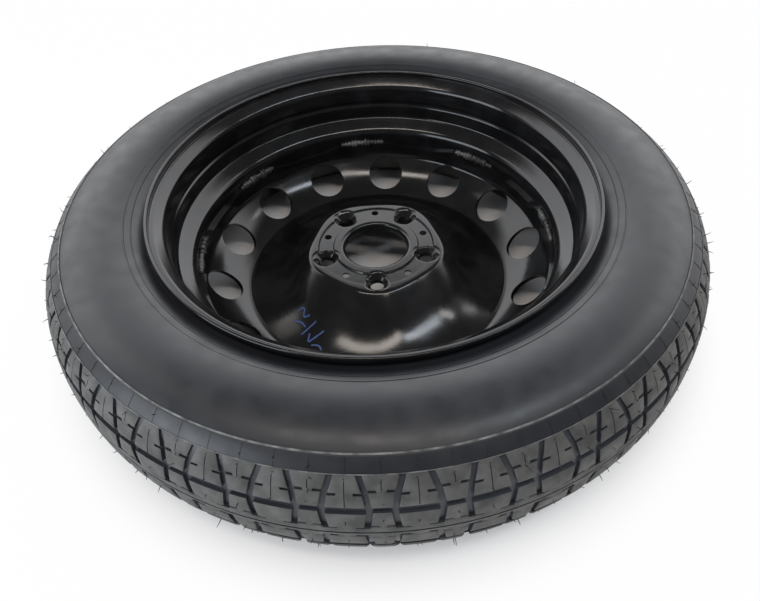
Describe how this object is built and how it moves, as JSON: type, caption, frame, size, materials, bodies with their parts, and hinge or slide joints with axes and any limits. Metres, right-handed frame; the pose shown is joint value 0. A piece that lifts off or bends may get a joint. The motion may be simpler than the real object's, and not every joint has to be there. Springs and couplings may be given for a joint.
{
  "type": "space saver spare wheel",
  "caption": "Narrow temporary spare wheel: grooved tyre on a black welded steel wheel with a pressed, vented disc, hub bore, lug seats and a snap-in valve with screw cap.",
  "frame": {"origin": "Where the wheel's axis meets the hub face, the flat pad that bolts to the hub.", "axes": "+Z along the axis towards the car (inboard side up, as the wheel lies); +X and +Y across the wheel, -Y towards the picture's viewer."},
  "size_m": [0.64, 0.64, 0.142],
  "materials": {
    "tyre_rubber": "satin dark grey rubber",
    "wheel_paint": "gloss black paint",
    "weld_paint": "gloss black paint over weld",
    "valve_rubber": "matte",
    "valve_brass": "turned",
    "seal_rubber": "matte",
    "spring_steel": "drawn wire",
    "cap_plastic": "moulded"
  },
  "bodies": {
    "wheel": {"tyre": "tyre_rubber", "wheel_rim": "wheel_paint", "wheel_disc": "wheel_paint", "weld_beads": "weld_paint", "valve_body": "valve_rubber", "valve_stem": "valve_brass", "core_plug": "valve_brass", "core_barrel": "valve_brass", "barrel_gasket": "seal_rubber", "core_spring": "spring_steel"},
    "pin": {"core_pin": "valve_brass", "pin_cup": "valve_brass", "cup_gasket": "seal_rubber"},
    "seal": {"cap_seal": "seal_rubber"},
    "cap": {"valve_cap": "cap_plastic"}
  },
  "joints": [
    {"name": "pin_press", "type": "slide", "parent": "wheel", "child": "pin", "axis": [0, -0.5268, 0.85], "range_m": [0, 0.0015], "stiffness_N_per_m": 1500, "springref_m": -0.001, "deforming": ["core_spring"]},
    {"name": "cap_lift", "type": "slide", "parent": "wheel", "child": "seal", "axis": [0, 0.5268, -0.85], "range_m": [0, 0.0079]},
    {"name": "cap_turn", "type": "hinge", "parent": "seal", "child": "cap", "pos_m": [0, -0.19078, -0.02056], "axis": [0, 0.5268, -0.85], "range_deg": [0, 3600]}
  ],
  "couplings": [
    {"joint": "cap_turn", "follows": "cap_lift", "rad_per_m": 7913.3}
  ]
}
